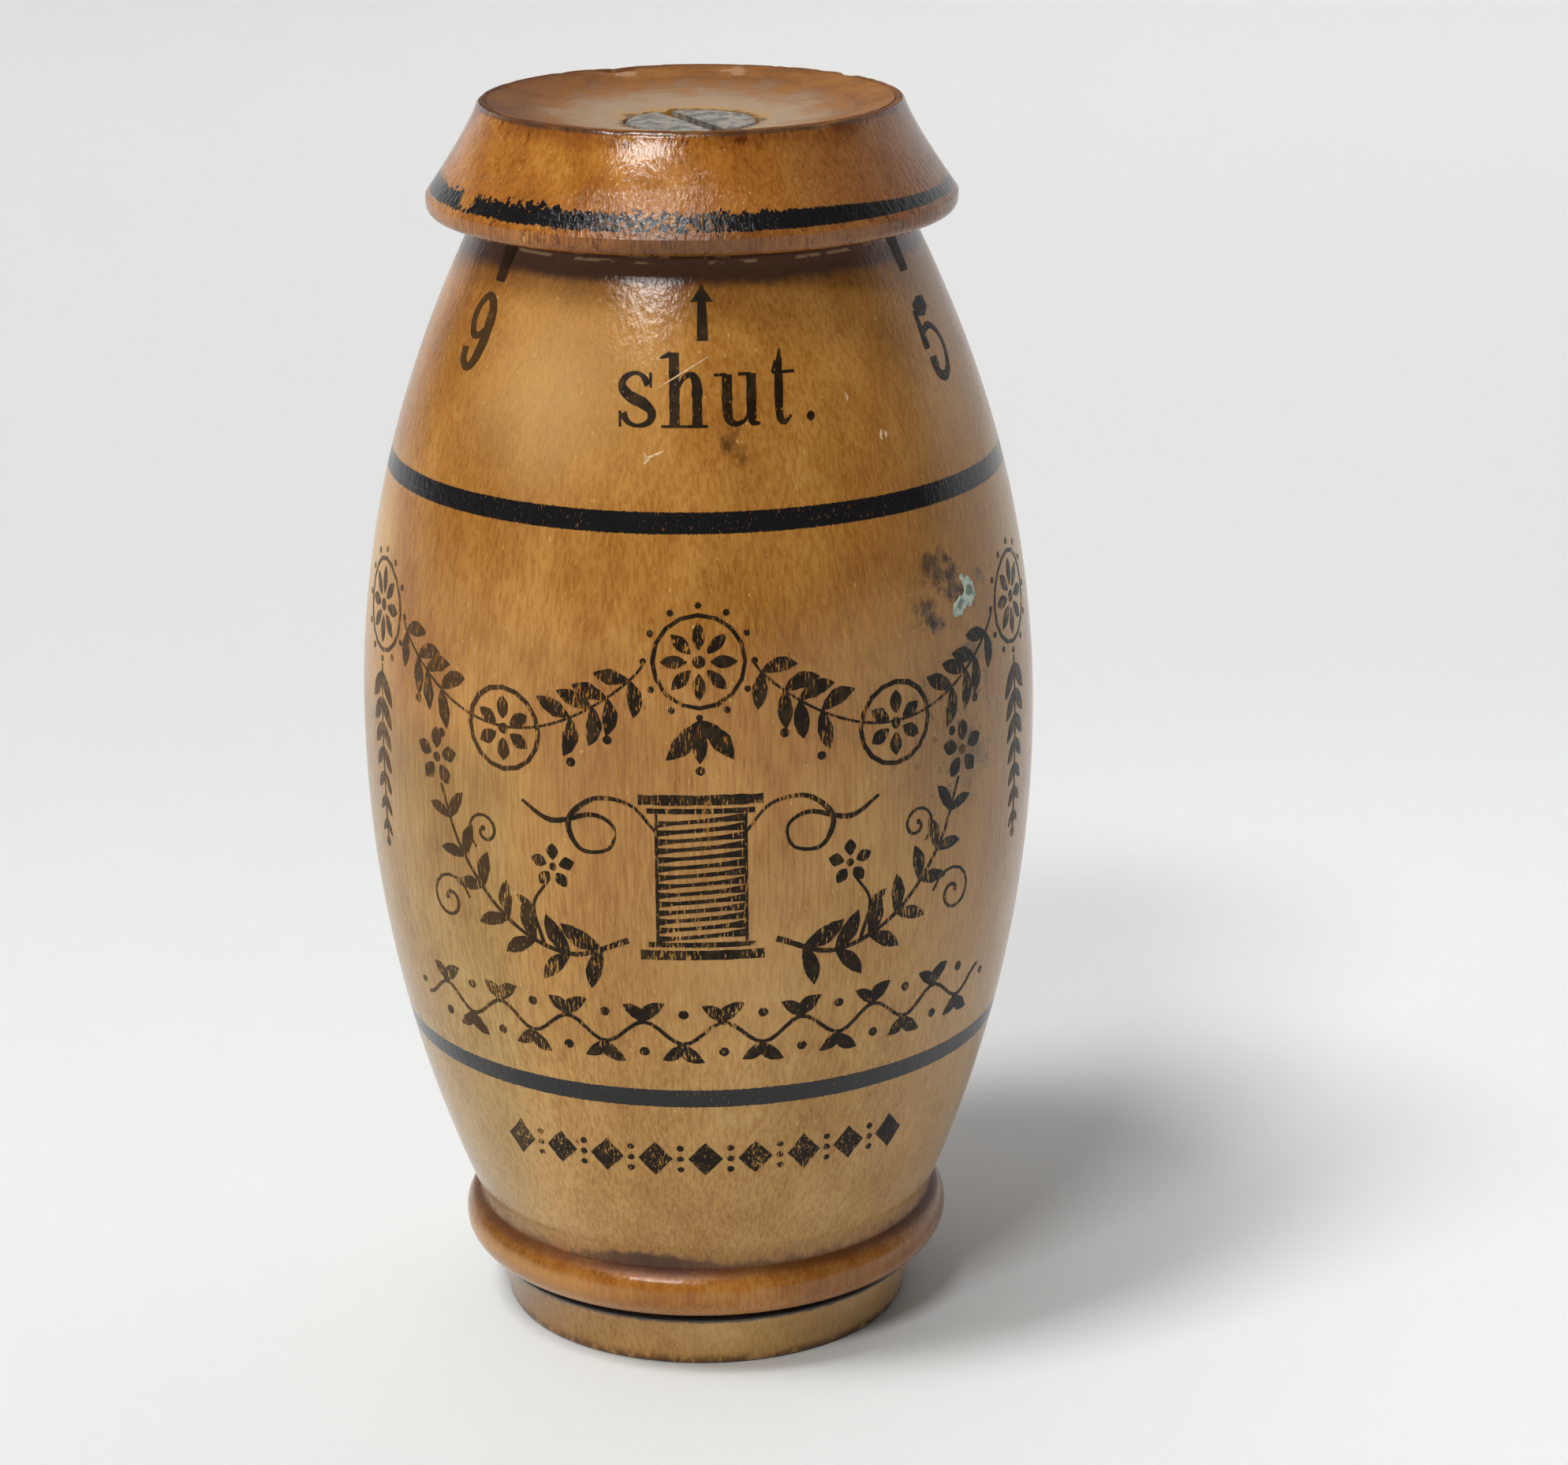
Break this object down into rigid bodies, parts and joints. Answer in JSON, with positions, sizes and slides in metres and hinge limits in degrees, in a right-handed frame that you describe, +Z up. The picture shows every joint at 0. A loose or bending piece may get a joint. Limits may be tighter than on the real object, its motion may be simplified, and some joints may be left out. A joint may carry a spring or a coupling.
{
  "type": "needle case",
  "caption": "Turned wooden barrel needle case: upright needle compartments under a dished cap that revolves on a countersunk screw, with a dial mark for each needle size.",
  "frame": {"origin": "centre of the flat underside of the foot", "axes": "+Z up along the turning axis, from the foot to the cap; -Y to the front, where the mark for the closed position is; +X to the viewer's right"},
  "size_m": [0.0342, 0.0342, 0.0635],
  "materials": {
    "barrel_wood": "honey varnish on close-grained wood, worn, with black painted bands and black printed ornament",
    "cap_wood": "glossy orange-brown varnish, worn, with a black painted band",
    "screw_iron": "dull blue-grey iron",
    "needle_steel": "polished steel"
  },
  "bodies": {
    "barrel": {"barrel": "barrel_wood", "pivot_screw": "screw_iron", "needle_5_1": "needle_steel", "needle_5_2": "needle_steel", "needle_5_3": "needle_steel", "needle_5_4": "needle_steel", "needle_6_1": "needle_steel", "needle_6_2": "needle_steel", "needle_6_3": "needle_steel", "needle_6_4": "needle_steel", "needle_7_1": "needle_steel", "needle_7_2": "needle_steel", "needle_7_3": "needle_steel", "needle_7_4": "needle_steel", "needle_8_1": "needle_steel", "needle_8_2": "needle_steel", "needle_8_3": "needle_steel", "needle_8_4": "needle_steel", "needle_9_1": "needle_steel", "needle_9_2": "needle_steel", "needle_9_3": "needle_steel", "needle_9_4": "needle_steel"},
    "cap": {"cap": "cap_wood"}
  },
  "joints": [
    {"name": "cap_turn", "type": "hinge", "parent": "barrel", "child": "cap", "pos_m": [0, 0, 0.05805], "axis": [0, 0, 1], "continuous": true}
  ]
}
